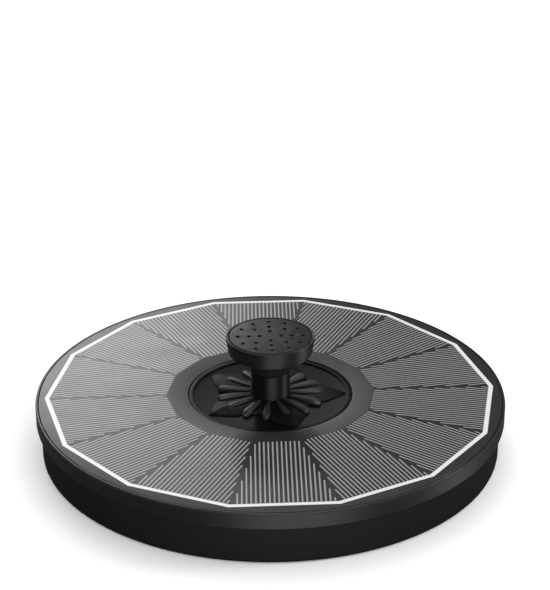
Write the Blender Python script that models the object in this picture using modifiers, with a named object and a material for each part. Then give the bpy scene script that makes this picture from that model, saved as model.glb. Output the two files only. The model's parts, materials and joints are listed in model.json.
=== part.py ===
"""Floating solar fountain pump: a round solar disc with a pump, a battery and a spray nozzle.

+Z is up and the origin is the centre of the flat underside. Sizes are in millimetres and the
helpers turn them into metres. A solar cell's middle faces -Y, the front.
"""

import math

import bmesh
import bpy
from mathutils import Matrix, Vector

MM = 0.001
GAP = 0.3
EMBED = 0.3

# Float body
DISC_R = 80.0
TOP_Z = 18.8
BAND_Z = 13.2
RIM_CHAMFER_IN = 0.6
RIM_CHAMFER_DOWN = 0.78
RIM_INNER_R = 79.3
LID_PLATE_Z = (15.3, 17.2)
LID_HOLE_R = 26.0
TUB_R = 78.35
TUB_WALL = 1.8
TUB_FLOOR = 2.0
TUB_TOP_Z = 13.9
TUB_EDGE_R = 1.2
WELL_R = 30.5
WELL_WALL = 2.3
WELL_ROOF_Z = (13.4, 15.0)
ROOF_HOLE_R = 8.4
BODY_SIDES = 56

# Solar panel
CELL_COUNT = 14
CELL_STEP = 360 / CELL_COUNT
FRONT = -90.0
PANEL_INNER_R = 28.2
PANEL_OUTER_R = 79.0
PANEL_THICK = 1.3
POCKET_DEPTH = 0.75
POCKET_INNER_R = 34.4
CELL_THICK = 0.45
CELL_INNER_APOTHEM = 34.9
CELL_HALF_GAP = 0.95
BORDER_R = 76.2
BORDER_WIDTH = 1.65

# Flower cover round the riser
COVER_R = 27.8
COVER_RIM_R = 26.2
COVER_FLOOR_Z = 18.2
COVER_BOTTOM_Z = 16.4
COVER_HOLE_R = 7.0
PETAL_COUNT = 5
PETAL_TIP_R = 25.7
PETAL_NOTCH_R = 17.0
PETAL_SHOULDER_R = 20.0
PETAL_SHOULDER_ANGLE = 16.0
PETAL_PHASE = -2.2
PETAL_TOP_Z = 18.9
RAY_COUNT = 15
RAY_R = (8.0, 18.4)
RAY_WIDTH = 2.0
RAY_TOP_Z = 19.7

# Riser and nozzle
RISER_R = 6.65
RISER_BORE_R = 4.6
RISER_Z = (13.4, 27.5)
RISER_FLANGE_R = 8.0
NECK_R = 7.0
NECK_FOOT_R = 6.65
NECK_TAPER_Z = 32.0
CUP_R = 15.05
CUP_LOW_R = 14.2
CUP_Z = (34.4, 40.0)
CUP_WALL = 1.5
NOZZLE_BORE_R = 3.0
PLUG_R = 4.2
PLUG_Z = 20.5
PLATE_Z = (39.3, 40.2)
PLATE_R = 14.0
SPRAY_HOLE_R = 0.75
SPRAY_RINGS = ((3.6, 4), (7.2, 8), (11.0, 12))

# Pump, whose spindle stands behind the riser
PUMP_Y = 17.5
PUMP_R = 12.0
PUMP_Z = (4.4, 13.1)
CHAMBER_R = 10.0
CHAMBER_Z = (5.4, 8.4)
ROTOR_WELL_R = 5.2
ROTOR_WELL_TOP = 11.4
STATOR_R = (6.1, 10.8)
STATOR_FLOOR_Z = 9.0
STATOR_Z = (9.3, 11.9)
TOOTH_COUNT = 6
IMPELLER_R = 9.0
BLADE_COUNT = 6
SHAFT_R = 0.75

# Filter door with a three-lug bayonet
DOOR_R = 30.0
DOOR_Z = (0.4, 1.6)
LUG_COUNT = 3
LUG_ANGLE = 16.0
DOOR_TURN = 30.0
LUG_OUT_R = 31.1
LUG_Z = (2.5, 3.5)
SLOT_COUNT = 12

# Case screws, switch, board and battery
SCREW_COUNT = 6
SCREW_CIRCLE_R = 70.0
BATTERY_SIZE = (50.0, 30.0, 6.0)
BATTERY_Y = -54.0
BOARD_SIZE = (24.0, 34.0, 1.6)
BOARD_X = 52.0
BOARD_Z = 7.0
BUTTON_X = 50.0
BUTTON_R = 5.0
LEAD_R = 0.8
PANEL_LEAD_AT = (34.2, -9.0)
GLAND_ANGLE = 35.0
GLAND_Z = 9.0


def clear_scene():
    for obj in list(bpy.data.objects):
        bpy.data.objects.remove(obj)


def new_collection(name, hidden=False):
    collection = bpy.data.collections.new(name)
    bpy.context.scene.collection.children.link(collection)
    collection.hide_render = hidden
    return collection


def make_material(name, colour, roughness, metallic=0.0):
    material = bpy.data.materials.new(name)
    material.use_nodes = True
    shader = material.node_tree.nodes["Principled BSDF"]
    shader.inputs["Base Color"].default_value = (*colour, 1.0)
    shader.inputs["Roughness"].default_value = roughness
    shader.inputs["Metallic"].default_value = metallic
    return material


def polar(radius, degrees):
    angle = math.radians(degrees)
    return radius * math.cos(angle), radius * math.sin(angle)


def arc(radius, start, end, steps):
    """Points along a circle about the origin, both ends included."""
    return [polar(radius, start + (end - start) * i / steps) for i in range(steps + 1)]


def circle(radius, steps, centre=(0.0, 0.0)):
    points = arc(radius, 0, 360, steps)[:-1]
    return [(centre[0] + x, centre[1] + y) for x, y in points]


def add_object(name, mesh, look, at=(0.0, 0.0, 0.0)):
    """Puts a mesh in the scene as a part or, with no look, as a hidden cutter."""
    obj = bpy.data.objects.new(name, mesh)
    obj.location = Vector(at) * MM
    if look is None:
        CUTTERS.objects.link(obj)
        obj.hide_render = True
        obj.display_type = "WIRE"
    else:
        PARTS.objects.link(obj)
        mesh.materials.append(look)
    return obj


def smooth(obj, degrees=35):
    obj.data.shade_smooth()
    obj.data.set_sharp_from_angle(angle=math.radians(degrees))


def turned(name, profile, look, sides=48, at=(0.0, 0.0, 0.0)):
    """A solid of revolution about Z from a closed (radius, height) outline."""
    area = 0.0
    for (r0, z0), (r1, z1) in zip(profile, profile[1:] + profile[:1]):
        area += r0 * z1 - r1 * z0
    if area > 0:
        profile = profile[::-1]
    on_axis = [i for i, (r, _) in enumerate(profile) if r == 0]
    if on_axis:
        first = next(i for i in on_axis if (i - 1) % len(profile) in on_axis)
        profile = profile[first:] + profile[:first]
    mesh = bpy.data.meshes.new(name)
    count = len(profile)
    edges = [(i, (i + 1) % count) for i in range(count - 1 if on_axis else count)]
    mesh.from_pydata([(r * MM, 0, z * MM) for r, z in profile], edges, [])
    obj = add_object(name, mesh, look, at)
    screw = obj.modifiers.new("Turn", "SCREW")
    screw.steps = sides
    screw.render_steps = sides
    screw.use_merge_vertices = bool(on_axis)
    screw.merge_threshold = 0.00001
    screw.use_smooth_shade = True
    return obj


def rod(name, radius, low, high, look, at=(0.0, 0.0), sides=24):
    mesh = bpy.data.meshes.new(name)
    shape = bmesh.new()
    size = radius * MM
    depth = (high - low) * MM
    bmesh.ops.create_cone(shape, cap_ends=True, segments=sides, radius1=size, radius2=size, depth=depth)
    shape.to_mesh(mesh)
    shape.free()
    obj = add_object(name, mesh, look, (at[0], at[1], (low + high) / 2))
    smooth(obj)
    return obj


def block(name, size, centre, look, turn=0.0):
    mesh = bpy.data.meshes.new(name)
    shape = bmesh.new()
    bmesh.ops.create_cube(shape, size=1.0)
    bmesh.ops.scale(shape, vec=Vector(size) * MM, verts=shape.verts)
    shape.to_mesh(mesh)
    shape.free()
    obj = add_object(name, mesh, look, centre)
    obj.rotation_euler.z = math.radians(turn)
    return obj


def curve_to_mesh(name, curve, look, at):
    """The curve's evaluated shape as a closed mesh object."""
    guide = bpy.data.objects.new(name + "_guide", curve)
    bpy.context.scene.collection.objects.link(guide)
    graph = bpy.context.evaluated_depsgraph_get()
    mesh = bpy.data.meshes.new_from_object(guide.evaluated_get(graph))
    bpy.data.objects.remove(guide)
    shape = bmesh.new()
    shape.from_mesh(mesh)
    bmesh.ops.remove_doubles(shape, verts=shape.verts, dist=0.000001)
    bmesh.ops.recalc_face_normals(shape, faces=shape.faces)
    shape.to_mesh(mesh)
    shape.free()
    mesh.name = name
    return add_object(name, mesh, look, at)


def plate(name, outlines, low, high, look, at=(0.0, 0.0)):
    """A flat solid between two heights. The first outline is its edge, the others are holes."""
    curve = bpy.data.curves.new(name, "CURVE")
    curve.dimensions = "2D"
    curve.fill_mode = "BOTH"
    curve.extrude = (high - low) / 2 * MM
    for outline in outlines:
        spline = curve.splines.new("POLY")
        spline.points.add(len(outline) - 1)
        for point, (x, y) in zip(spline.points, outline):
            point.co = (x * MM, y * MM, 0, 1)
        spline.use_cyclic_u = True
    return curve_to_mesh(name, curve, look, (at[0], at[1], (low + high) / 2))


def wire(name, route, look, radius=LEAD_R, per_leg=4):
    """A round lead along a smooth curve through the route's points."""
    ends = [Vector(p) for p in route]
    ends = [ends[0] * 2 - ends[1]] + ends + [ends[-1] * 2 - ends[-2]]
    points = []
    for a, b, c, d in zip(ends, ends[1:], ends[2:], ends[3:]):
        for i in range(per_leg):
            t = i / per_leg
            quadratic = a * 2 - b * 5 + c * 4 - d
            cubic = b * 3 - a - c * 3 + d
            points.append((b * 2 + (c - a) * t + quadratic * t**2 + cubic * t**3) / 2)
    points.append(ends[-2])
    curve = bpy.data.curves.new(name, "CURVE")
    curve.dimensions = "3D"
    curve.bevel_depth = radius * MM
    curve.bevel_resolution = 1
    curve.use_fill_caps = True
    spline = curve.splines.new("POLY")
    spline.points.add(len(points) - 1)
    for point, place in zip(spline.points, points):
        point.co = (*(place * MM), 1)
    return curve_to_mesh(name, curve, look, (0, 0, 0))


def combine(target, other, operation):
    modifier = target.modifiers.new(other.name, "BOOLEAN")
    modifier.operation = operation
    modifier.object = other


def cut(target, *cutters):
    for cutter in cutters:
        combine(target, cutter, "DIFFERENCE")


def join(target, *pieces):
    for piece in pieces:
        combine(target, piece, "UNION")


def merged(name, pieces):
    """Overlapping helpers made one helper, so that a part needs a single Boolean for them."""
    first = pieces[0]
    first.name = name
    join(first, *pieces[1:])
    return first


def apart(name, pieces):
    """Separate helpers in one mesh, for cutters and lugs that don't meet each other."""
    shape = bmesh.new()
    bpy.context.view_layer.update()
    for piece in pieces:
        before = len(shape.verts)
        shape.from_mesh(piece.data)
        shape.verts.ensure_lookup_table()
        bmesh.ops.transform(shape, matrix=piece.matrix_world, verts=shape.verts[before:])
        bpy.data.objects.remove(piece)
    mesh = bpy.data.meshes.new(name)
    shape.to_mesh(mesh)
    shape.free()
    return add_object(name, mesh, None)


def screw_spots():
    return [polar(SCREW_CIRCLE_R, 360 / SCREW_COUNT * i) for i in range(SCREW_COUNT)]


def build_top_shell():
    plate_low, plate_high = LID_PLATE_Z
    profile = [
        (DISC_R - RIM_CHAMFER_IN, TOP_Z),
        (DISC_R, TOP_Z - RIM_CHAMFER_DOWN),
        (DISC_R, BAND_Z),
        (TUB_R + GAP, BAND_Z),
        (TUB_R + GAP, plate_low),
        (LID_HOLE_R, plate_low),
        (LID_HOLE_R, plate_high),
        (RIM_INNER_R, plate_high),
        (RIM_INNER_R, TOP_Z),
    ]
    shell = turned("top_shell", profile, BLACK_SATIN, BODY_SIDES)
    bosses = []
    pilots = []
    for i, spot in enumerate(screw_spots()):
        bosses.append(rod(f"boss_{i}", 3.0, 4.9, plate_low + EMBED, None, spot, 12))
        pilots.append(rod(f"pilot_{i}", 1.4, 4.0, 12.5, None, spot, 8))
    join(shell, apart("lid_bosses", bosses))
    pilots.append(rod("lead_hole", 2.0, plate_low - 1, plate_high + 1, None, PANEL_LEAD_AT, 12))
    cut(shell, apart("lid_holes", pilots))


def lug_sector(name, inner, outer, start, span, low, high):
    outline = arc(outer, start, start + span, 4) + arc(inner, start + span, start, 4)
    return plate(name, [outline], low, high, None)


def build_bottom_shell():
    inner_r = TUB_R - TUB_WALL
    outer_well = WELL_R + WELL_WALL
    roof_low, roof_high = WELL_ROOF_Z
    soft = 0.3 * TUB_EDGE_R
    profile = [
        (TUB_R, TUB_TOP_Z),
        (TUB_R, TUB_EDGE_R),
        (TUB_R - soft, soft),
        (TUB_R - TUB_EDGE_R, 0.0),
        (WELL_R, 0.0),
        (WELL_R, roof_low),
        (ROOF_HOLE_R, roof_low),
        (ROOF_HOLE_R, roof_high),
        (outer_well, roof_high),
        (outer_well, TUB_FLOOR),
        (inner_r, TUB_FLOOR),
        (inner_r, TUB_TOP_Z),
    ]
    shell = turned("bottom_shell", profile, BLACK_MATT, BODY_SIDES)
    posts = []
    holes = []
    for i, spot in enumerate(screw_spots()):
        posts.append(rod(f"post_{i}", 3.8, TUB_FLOOR - 1, 4.5, None, spot, 16))
        holes.append(rod(f"head_pocket_{i}", 2.5, -1.0, 2.7, None, spot, 12))
    for i, (x, y) in enumerate(((BOARD_X + 6, 12.5), (BOARD_X + 6, -12.5))):
        posts.append(rod(f"board_post_{i}", 2.5, TUB_FLOOR - 1, BOARD_Z - GAP, None, (x, y), 12))
    for i, spot in enumerate(pump_screw_spots()):
        posts.append(rod(f"roof_boss_{i}", 2.6, 8.5, roof_low + EMBED, None, spot, 12))
        holes.append(rod(f"roof_pilot_{i}", 1.1, 8.0, 12.6, None, spot, 8))
    holes.append(rod("button_hole", BUTTON_R + GAP, -1.0, TUB_FLOOR + 1, None, (BUTTON_X, 0.0), 24))
    grooves = []
    for i in range(LUG_COUNT):
        start = 360 / LUG_COUNT * i - 1.5
        low, high = LUG_Z[0] - GAP, LUG_Z[1] + GAP
        sweep = LUG_ANGLE + DOOR_TURN + 3
        run = lug_sector(f"run_{i}", WELL_R - 1, LUG_OUT_R + GAP, start, sweep, low, high)
        mouth = lug_sector(
            f"mouth_{i}", WELL_R - 1.2, LUG_OUT_R + 0.2, start + DOOR_TURN, LUG_ANGLE + 2.5, -1.0, high - 0.2
        )
        grooves.append(merged(f"groove_{i}", [run, mouth]))
    cut(shell, *grooves)
    gland_bore = rod("gland_bore", 1.9, -6.0, 6.0, None, sides=16)
    place_on_gland(gland_bore)
    holes.append(gland_bore)
    join(shell, apart("tub_posts", posts))
    cut(shell, apart("tub_holes", holes))
    shanks = [rod(f"shank_hole_{i}", 1.4, 1.0, 6.0, None, spot, 8) for i, spot in enumerate(screw_spots())]
    cut(shell, apart("shank_holes", shanks))


def place_on_gland(obj):
    """Turns a Z-axis piece to lie along the gland's axis, which passes through the well's wall."""
    x, y = polar(WELL_R + WELL_WALL / 2, GLAND_ANGLE)
    axis = Vector((*polar(1.0, GLAND_ANGLE), 0))
    obj.rotation_euler = axis.to_track_quat("Z", "Y").to_euler()
    obj.location = Vector((x, y, GLAND_Z)) * MM


def pump_screw_spots():
    return [(-12.5, -1.0), (12.5, -1.0)]


def build_seal_ring():
    middle = TUB_R - TUB_WALL / 2
    width = 1.3
    low, high = TUB_TOP_Z + GAP, LID_PLATE_Z[0] - GAP
    profile = [
        (middle - width / 2, high),
        (middle + width / 2, high),
        (middle + width / 2, low),
        (middle - width / 2, low),
    ]
    turned("seal_ring", profile, RUBBER, BODY_SIDES)


def polygon(circumradius):
    """The panel's many-sided outline, with the middle of one side at the front."""
    return [polar(circumradius, FRONT + CELL_STEP * (i + 0.5)) for i in range(CELL_COUNT)]


def build_panel():
    board = plate(
        "panel_board",
        [circle(PANEL_OUTER_R, BODY_SIDES), circle(PANEL_INNER_R, 42)],
        TOP_Z - PANEL_THICK,
        TOP_Z,
        PANEL_BLACK,
    )
    half_line = BORDER_WIDTH / 2 / math.cos(math.radians(CELL_STEP / 2))
    pocket = plate(
        "cell_pocket",
        [polygon(BORDER_R + half_line + GAP), circle(POCKET_INNER_R, 42)],
        TOP_Z - POCKET_DEPTH,
        TOP_Z + 1,
        None,
    )
    cut(board, pocket)
    plate(
        "panel_border",
        [polygon(BORDER_R + half_line), polygon(BORDER_R - half_line)],
        TOP_Z - CELL_THICK,
        TOP_Z,
        BORDER_WHITE,
    )
    apothem = math.cos(math.radians(CELL_STEP / 2)) * (BORDER_R - half_line) - GAP
    slope = math.tan(math.radians(CELL_STEP / 2))
    edge = CELL_HALF_GAP / math.cos(math.radians(CELL_STEP / 2))
    half_in = CELL_INNER_APOTHEM * slope - edge
    half_out = apothem * slope - edge
    outline = [
        (CELL_INNER_APOTHEM, -half_in),
        (apothem, -half_out),
        (apothem, half_out),
        (CELL_INNER_APOTHEM, half_in),
    ]
    for i in range(CELL_COUNT):
        cell = plate(f"solar_cell_{i + 1:02d}", [outline], TOP_Z - CELL_THICK, TOP_Z, CELL_GREY)
        cell.rotation_euler.z = math.radians(FRONT + CELL_STEP * i)


def build_flower_cover():
    profile = [
        (COVER_RIM_R, TOP_Z),
        (COVER_R, TOP_Z),
        (COVER_R, LID_PLATE_Z[1] + GAP),
        (LID_HOLE_R - GAP, LID_PLATE_Z[1] + GAP),
        (LID_HOLE_R - GAP, COVER_BOTTOM_Z),
        (COVER_HOLE_R, COVER_BOTTOM_Z),
        (COVER_HOLE_R, COVER_FLOOR_Z),
        (COVER_RIM_R, COVER_FLOOR_Z),
    ]
    cover = turned("flower_cover", profile, BLACK_SATIN, 48)
    star = []
    for i in range(PETAL_COUNT):
        tip = PETAL_PHASE + 360 / PETAL_COUNT * i
        star.append(polar(PETAL_TIP_R, tip))
        star.append(polar(PETAL_SHOULDER_R, tip + PETAL_SHOULDER_ANGLE))
        star.append(polar(PETAL_NOTCH_R, tip + 180 / PETAL_COUNT))
        star.append(polar(PETAL_SHOULDER_R, tip + 360 / PETAL_COUNT - PETAL_SHOULDER_ANGLE))
    inner = circle(COVER_HOLE_R + 0.8, 30)
    petals = plate("petals", [star, inner], COVER_FLOOR_Z - EMBED, PETAL_TOP_Z, None)
    join(cover, petals)
    rays = []
    for i in range(RAY_COUNT):
        angle = PETAL_PHASE + 360 / RAY_COUNT * i
        low, high = RAY_R
        centre = (*polar((low + high) / 2, angle), (COVER_FLOOR_Z - EMBED + RAY_TOP_Z) / 2)
        size = (high - low, RAY_WIDTH, RAY_TOP_Z - COVER_FLOOR_Z + EMBED)
        rays.append(block(f"ray_{i}", size, centre, None, angle))
    join(cover, apart("rays", rays))


def build_riser():
    low, high = RISER_Z
    profile = [
        (RISER_BORE_R, high),
        (RISER_R, high),
        (RISER_R, low + 0.8),
        (RISER_FLANGE_R, low + 0.8),
        (RISER_FLANGE_R, low),
        (RISER_BORE_R, low),
    ]
    turned("riser_tube", profile, BLACK_SATIN, 28)
    inner, outer = RISER_R + GAP, RISER_FLANGE_R + 0.1
    seal = [(inner, low + 2.0), (outer, low + 2.0), (outer, low + 1.1), (inner, low + 1.1)]
    turned("riser_seal", seal, RUBBER, 28)


def build_nozzle():
    low, high = CUP_Z
    chamber = CUP_R - CUP_WALL
    groove_r = PLUG_R - 0.8
    ring_z = PLUG_Z + 1.5
    profile = [
        (PLATE_R + GAP, high),
        (CUP_R, high - 0.6),
        (CUP_LOW_R, low + 0.4),
        (CUP_LOW_R - 0.4, low),
        (NECK_R, low),
        (NECK_R, NECK_TAPER_Z),
        (NECK_FOOT_R, RISER_Z[1] + GAP),
        (PLUG_R, RISER_Z[1] + GAP),
        (PLUG_R, ring_z + 1.0),
        (groove_r, ring_z + 1.0),
        (groove_r, ring_z),
        (PLUG_R, ring_z),
        (PLUG_R, PLUG_Z),
        (NOZZLE_BORE_R - 0.4, PLUG_Z),
        (NOZZLE_BORE_R - 0.4, low + 1.4),
        (chamber - 0.6, low + 1.4),
        (chamber - 0.6, PLATE_Z[0] - GAP),
        (PLATE_R + GAP, PLATE_Z[0] - GAP),
    ]
    turned("nozzle_cup", profile, BLACK_SATIN, 36)
    inner, outer = groove_r + 0.2, PLUG_R + 0.15
    seal = [(inner, ring_z + 0.8), (outer, ring_z + 0.8), (outer, ring_z + 0.2), (inner, ring_z + 0.2)]
    turned("nozzle_seal", seal, RUBBER, 24)
    outlines = [circle(PLATE_R, 36)]
    for ring_r, count in SPRAY_RINGS:
        for i in range(count):
            outlines.append(circle(SPRAY_HOLE_R, 6, polar(ring_r, 360 / count * i)))
    plate("spray_plate", outlines, *PLATE_Z, GREY_SATIN)


def build_pump_housing():
    low, high = PUMP_Z
    drum = rod("pump_housing", PUMP_R, low, high, PUMP_BLACK, (0, PUMP_Y), 28)
    post = rod("outlet_post", RISER_FLANGE_R, low, high, None, sides=24)
    size = (13.0, PUMP_Y, high - low - 0.4)
    bridge = block("outlet_bridge", size, (0, PUMP_Y / 2, (low + high) / 2), None)
    ears = []
    for i, spot in enumerate(pump_screw_spots()):
        ears.append(rod(f"ear_{i}", 3.0, low + 0.1, 8.2, None, spot, 16))
        ears.append(block(f"ear_arm_{i}", (8.0, 4.0, 3.6), (spot[0] * 0.7, spot[1], low + 2.0), None))
    join(drum, post, bridge, *ears)
    chamber_low, chamber_high = CHAMBER_Z
    at = (0, PUMP_Y)
    cavities = [
        rod("cover_seat", CHAMBER_R + 1.2, low - 1, chamber_low, None, at, 28),
        rod("volute", CHAMBER_R, chamber_low - 0.5, chamber_high, None, at, 28),
        rod("rotor_well", ROTOR_WELL_R, chamber_high - 0.5, ROTOR_WELL_TOP, None, at, 24),
        block("outlet_duct", (5.0, PUMP_Y - 6, 2.6), (0, (PUMP_Y - 6) / 2 + 1, 6.9), None),
        rod("outlet_bore", RISER_BORE_R, 5.6, high + 1, None, sides=24),
    ]
    cut(drum, merged("water_way", cavities))
    inner, outer = STATOR_R
    rings = [circle(outer, 28, at), circle(inner - GAP, 24, at)]
    pocket = plate("stator_pocket", rings, STATOR_FLOOR_Z, high + 1, None)
    seat = rod("cap_seat", outer + 0.2, 12.0, high + 1, None, at, 28)
    cut(drum, pocket, seat)
    holes = []
    for i, spot in enumerate(pump_screw_spots()):
        holes.append(rod(f"ear_pocket_{i}", 2.2, low - 1, low + 1.6, None, spot, 12))
    cut(drum, *holes)
    cut(drum, *[rod(f"ear_hole_{i}", 1.1, low, 9.0, None, s, 8) for i, s in enumerate(pump_screw_spots())])


def build_motor():
    at = (0, PUMP_Y)
    low, high = STATOR_Z
    inner, outer = STATOR_R
    core = plate("stator_core", [circle(outer - GAP, 24), circle(outer - 1.7, 24)], low, high, STEEL, at)
    for i in range(TOOTH_COUNT):
        angle = 360 / TOOTH_COUNT * i + 30
        middle = (inner + 0.2 + outer - 1.0) / 2
        x, y = polar(middle, angle)
        length = outer - 1.0 - inner - 0.2
        tooth = block(f"tooth_{i}", (length, 1.6, 0.8), (x, PUMP_Y + y, (low + high) / 2), None, angle)
        join(core, tooth)
        reach = polar((inner + 0.5 + outer - 2.1) / 2, angle)
        span = outer - 2.1 - inner - 0.5
        centre = (reach[0], PUMP_Y + reach[1])
        coil = block(f"stator_coil_{i + 1}", (span, 3.4, 2.5), (*centre, (low + high) / 2), COPPER, angle)
        opening = block(f"coil_bore_{i}", (span + 2, 2.2, 1.4), (*centre, (low + high) / 2), None, angle)
        cut(coil, opening)
    rod("motor_cap", outer - GAP, 12.3, PUMP_Z[1], PUMP_BLACK, at, 28)
    shaft = [
        (0.0, 5.2),
        (1.7, 5.2),
        (1.7, 5.7),
        (SHAFT_R, 5.7),
        (SHAFT_R, ROTOR_WELL_TOP - GAP),
        (0.0, ROTOR_WELL_TOP - GAP),
    ]
    turned("pump_shaft", shaft, CERAMIC, 16, (0, PUMP_Y, 0))


def build_rotor():
    bore = SHAFT_R + GAP
    hub_r = 2.3
    disc_z = (7.5, 8.1)
    profile = [
        (bore, 10.8),
        (hub_r, 10.8),
        (hub_r, disc_z[1]),
        (IMPELLER_R, disc_z[1]),
        (IMPELLER_R, disc_z[0]),
        (hub_r, disc_z[0]),
        (hub_r, 6.0),
        (bore, 6.0),
    ]
    impeller = turned("impeller", profile, IVORY, 24, (0, PUMP_Y, 0))
    blades = []
    for i in range(BLADE_COUNT):
        angle = 360 / BLADE_COUNT * i
        x, y = polar(5.4, angle)
        blades.append(block(f"blade_{i}", (6.8, 0.8, 2.0), (x, PUMP_Y + y, 6.7), None, angle + 12))
    blade_set = apart("blades", blades)
    blade_set.data.transform(Matrix.Translation((0, -PUMP_Y * MM, 0)))
    blade_set.location.y = PUMP_Y * MM
    join(impeller, blade_set)
    magnet = [
        (hub_r + GAP, 10.8),
        (ROTOR_WELL_R - 0.5, 10.8),
        (ROTOR_WELL_R - 0.5, disc_z[1] + GAP),
        (hub_r + GAP, disc_z[1] + GAP),
    ]
    turned("rotor_magnet", magnet, FERRITE, 20, (0, PUMP_Y, 0))


def build_volute_cover():
    low = PUMP_Z[0]
    outer = CHAMBER_R + 1.2 - GAP
    profile = [(3.2, low + 0.7), (outer, low + 0.7), (outer, low), (3.2, low)]
    turned("volute_cover", profile, PUMP_BLACK, 28, (0, PUMP_Y, 0))


def build_filter_door():
    low, high = DOOR_Z
    wall = 1.0
    profile = [
        (0.0, high),
        (DOOR_R - wall, high),
        (DOOR_R - wall, LUG_Z[1] + GAP),
        (DOOR_R, LUG_Z[1] + GAP),
        (DOOR_R, low),
        (0.0, low),
    ]
    door = turned("filter_door", profile, BLACK_MATT, 42)
    for i in range(LUG_COUNT):
        start = 360 / LUG_COUNT * i
        join(door, lug_sector(f"lug_{i}", DOOR_R - 0.5, LUG_OUT_R, start, LUG_ANGLE, *LUG_Z))
    slots = []
    for i in range(SLOT_COUNT):
        angle = 360 / SLOT_COUNT * i + 15
        slots.append(block(f"slot_{i}", (14.0, 2.2, 4.0), (*polar(18.0, angle), low), None, angle))
    slots.append(block("coin_slot", (13.0, 2.2, 1.2), (0, 0, low), None))
    cut(door, apart("door_slots", slots))
    rod("filter_sponge", DOOR_R - wall - GAP, high + GAP, PUMP_Z[0] - GAP, FOAM, sides=30)


def build_power():
    length, width, height = BATTERY_SIZE
    low = TUB_FLOOR + GAP
    block("battery_cell", BATTERY_SIZE, (0, BATTERY_Y, low + height / 2), BATTERY_BLUE)
    pad_low = low + height + GAP
    pad_high = LID_PLATE_Z[0] - GAP
    pad_size = (length - 10, width - 8, pad_high - pad_low)
    block("battery_pad", pad_size, (0, BATTERY_Y, (pad_low + pad_high) / 2), FOAM)
    thick = BOARD_SIZE[2]
    block("control_board", BOARD_SIZE, (BOARD_X, 0, BOARD_Z + thick / 2), BOARD_GREEN)
    top = BOARD_Z + thick + GAP
    block("charge_chip", (6.0, 6.0, 1.2), (BOARD_X - 3, -6, top + 0.6), CHIP_BLACK)
    block("motor_chip", (5.0, 4.0, 1.2), (BOARD_X - 3, 5, top + 0.6), CHIP_BLACK)
    block("switch_body", (6.0, 6.0, 2.3), (BUTTON_X, 0, BOARD_Z - GAP - 1.15), CHIP_BLACK)
    cap = [
        (0.0, 3.5),
        (1.5, 3.5),
        (1.5, 2.9),
        (BUTTON_R + 1.5, 2.9),
        (BUTTON_R + 1.5, TUB_FLOOR + GAP),
        (BUTTON_R, TUB_FLOOR + GAP),
        (BUTTON_R, 0.9),
        (BUTTON_R - 0.4, 0.5),
        (0.0, 0.5),
    ]
    turned("power_button", cap, RUBBER, 24, (BUTTON_X, 0, 0))


def build_leads():
    out_x, out_y = polar(1.0, GLAND_ANGLE)
    start = (PUMP_R + GAP, PUMP_Y + 0.5, GLAND_Z)
    wall = WELL_R + WELL_WALL / 2
    on_axis = [(out_x * r, out_y * r, GLAND_Z) for r in (wall - 6, wall - 3, wall + 3, wall + 6)]
    pump_route = [start, (16.5, 16.0, GLAND_Z), *on_axis, (37.5, 17.5, 10.2), (43.0, 12.0, 10.0)]
    wire("pump_lead", pump_route, WIRE_BLACK)
    gland = turned(
        "cable_gland",
        [
            (LEAD_R + 0.3, 2.6),
            (1.6, 2.6),
            (1.6, -2.6),
            (LEAD_R + 0.3, -2.6),
        ],
        RUBBER,
        16,
    )
    place_on_gland(gland)
    panel_route = [
        (*PANEL_LEAD_AT, 17.1),
        (*PANEL_LEAD_AT, 14.5),
        (37.0, -10.0, 11.5),
        (42.0, -12.5, 10.0),
        (45.0, -12.5, 9.9),
    ]
    wire("panel_lead", panel_route, WIRE_RED)
    battery_route = [
        (BATTERY_SIZE[0] / 2 + GAP, BATTERY_Y + 6, 5.3),
        (32.0, BATTERY_Y + 9, 5.6),
        (42.0, -32.0, 8.0),
        (47.5, -21.0, 9.9),
        (49.5, -14.5, 9.9),
    ]
    wire("battery_lead", battery_route, WIRE_RED)


def screw(name, head_r, head_low, head_high, shank_r, tip_z, spot):
    profile = [
        (0.0, tip_z),
        (shank_r * 0.4, tip_z),
        (shank_r, tip_z - 1.0),
        (shank_r, head_high),
        (head_r, head_high),
        (head_r, head_low),
        (0.0, head_low),
    ]
    obj = turned(name, profile, STEEL, 12, (*spot, 0.0))
    cross = [
        block(f"{name}_cross_{turn}", (head_r * 1.2, 0.5, 1.6), (*spot, head_low), None, turn)
        for turn in (0, 90)
    ]
    cut(obj, *cross)


def build_screws():
    for i, spot in enumerate(screw_spots()):
        screw(f"case_screw_{i + 1}", 2.1, 0.5, 2.3, 1.05, 11.5, spot)
    for i, spot in enumerate(pump_screw_spots()):
        screw(f"pump_screw_{i + 1}", 1.8, PUMP_Z[0] + 0.1, PUMP_Z[0] + 1.3, 0.8, 11.8, spot)


clear_scene()
PARTS = new_collection("solar_fountain_pump")
CUTTERS = new_collection("cutters", hidden=True)

BLACK_SATIN = make_material("black_satin", (0.035, 0.035, 0.036), 0.38)
BLACK_MATT = make_material("black_matt", (0.02, 0.02, 0.021), 0.6)
PUMP_BLACK = make_material("pump_black", (0.03, 0.03, 0.032), 0.5)
PANEL_BLACK = make_material("panel_black", (0.03, 0.03, 0.033), 0.3)
CELL_GREY = make_material("cell_grey", (0.12, 0.12, 0.13), 0.3)
BORDER_WHITE = make_material("border_white", (0.85, 0.85, 0.85), 0.4)
GREY_SATIN = make_material("grey_satin", (0.2, 0.2, 0.2), 0.4)
RUBBER = make_material("rubber", (0.03, 0.03, 0.03), 0.8)
FOAM = make_material("foam", (0.08, 0.08, 0.08), 0.95)
STEEL = make_material("steel", (0.6, 0.6, 0.6), 0.35, 1.0)
COPPER = make_material("copper", (0.72, 0.36, 0.18), 0.35, 1.0)
CERAMIC = make_material("ceramic", (0.85, 0.85, 0.8), 0.25)
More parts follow.
